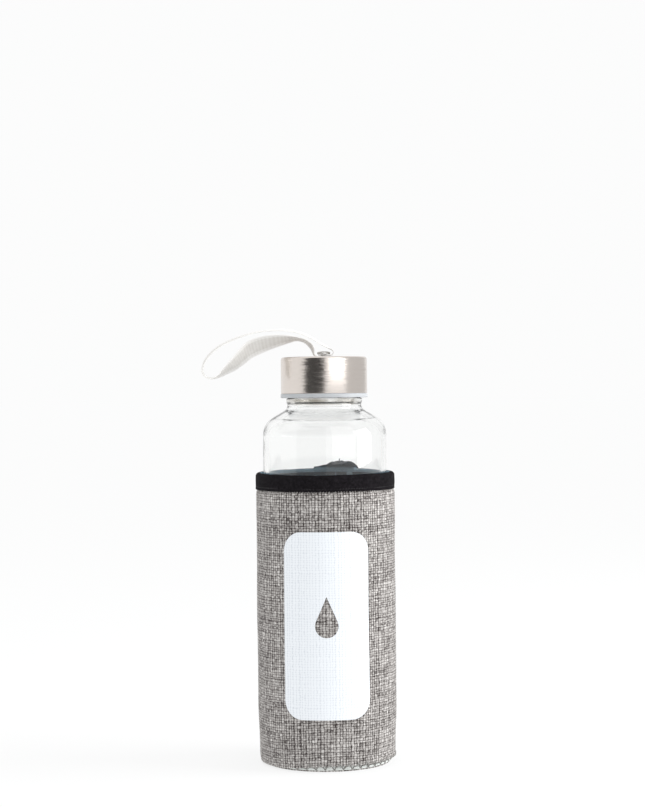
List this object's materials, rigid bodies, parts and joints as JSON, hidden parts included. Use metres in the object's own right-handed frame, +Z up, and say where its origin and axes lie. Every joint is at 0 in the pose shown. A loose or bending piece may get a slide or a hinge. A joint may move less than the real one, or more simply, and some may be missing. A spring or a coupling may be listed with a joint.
{
  "type": "glass water bottle",
  "caption": "Clear glass water bottle with a steel-clad screw cap, a ribbon carrying loop and an insulating woven sleeve that it lifts out of.",
  "frame": {"origin": "centre of the sleeve's flat underside, on the bottle's axis, where the bottle stands", "axes": "+Z up along the bottle's axis to the cap, -Y out of the printed front, -X to the side that the ribbon loop leans to"},
  "size_m": [0.102, 0.0746, 0.2279],
  "materials": {
    "clear_glass": "clear, smooth",
    "brushed_steel": "brushed round the cap",
    "rivet_steel": "polished",
    "frosted_plastic": "translucent, moulded",
    "silicone": "matt, soft",
    "satin_ribbon": "fine-ribbed woven ribbon",
    "linen_cloth": "slubby basket weave, greige and grey",
    "pale_foam": "closed-cell foam, fine pores",
    "black_knit": "fine knit lining",
    "black_tape": "folded woven binding tape",
    "grey_thread": "twisted sewing thread",
    "white_ink": "matt screen print"
  },
  "bodies": {
    "sleeve": {"sleeve_fabric": "linen_cloth", "sleeve_foam": "pale_foam", "sleeve_lining": "black_knit", "base_fabric": "linen_cloth", "base_foam": "pale_foam", "base_lining": "black_knit", "top_binding": "black_tape", "binding_stitch": "black_tape", "seam_stitch": "grey_thread", "base_stitch": "grey_thread", "front_print": "white_ink"},
    "bottle": {"glass_bottle": "clear_glass"},
    "seal": {"cap_seal": "silicone"},
    "cap": {"cap_shell": "brushed_steel", "cap_liner": "frosted_plastic", "rivet_head": "rivet_steel", "rivet_post": "rivet_steel", "rivet_washer": "rivet_steel"},
    "strap_root": {"strap_end_lower": "satin_ribbon", "strap_end_upper": "satin_ribbon"},
    "strap": {"strap_loop": "satin_ribbon"}
  },
  "joints": [
    {"name": "bottle_lift", "type": "slide", "parent": "sleeve", "child": "bottle", "axis": [0, 0, 1], "range_m": [0, 0.16]},
    {"name": "cap_rise", "type": "slide", "parent": "bottle", "child": "seal", "axis": [0, 0, 1], "range_m": [0, 0.0252]},
    {"name": "cap_turn", "type": "hinge", "parent": "seal", "child": "cap", "pos_m": [0, 0, 0.2073], "axis": [0, 0, 1], "range_deg": [0, 2162]},
    {"name": "strap_swivel", "type": "hinge", "parent": "cap", "child": "strap_root", "pos_m": [0, 0, 0.213], "axis": [0, 0, 1], "continuous": true},
    {"name": "strap_flop", "type": "hinge", "parent": "strap_root", "child": "strap", "pos_m": [-0.0041, 0, 0.2196], "axis": [0, 1, 0], "range_deg": [-15, 105], "stiffness_Nm_per_rad": 0.01, "springref_deg": 1.72, "deforming": ["strap_end_lower", "strap_end_upper"]}
  ],
  "couplings": [
    {"joint": "cap_turn", "follows": "cap_rise", "rad_per_m": 1496}
  ]
}
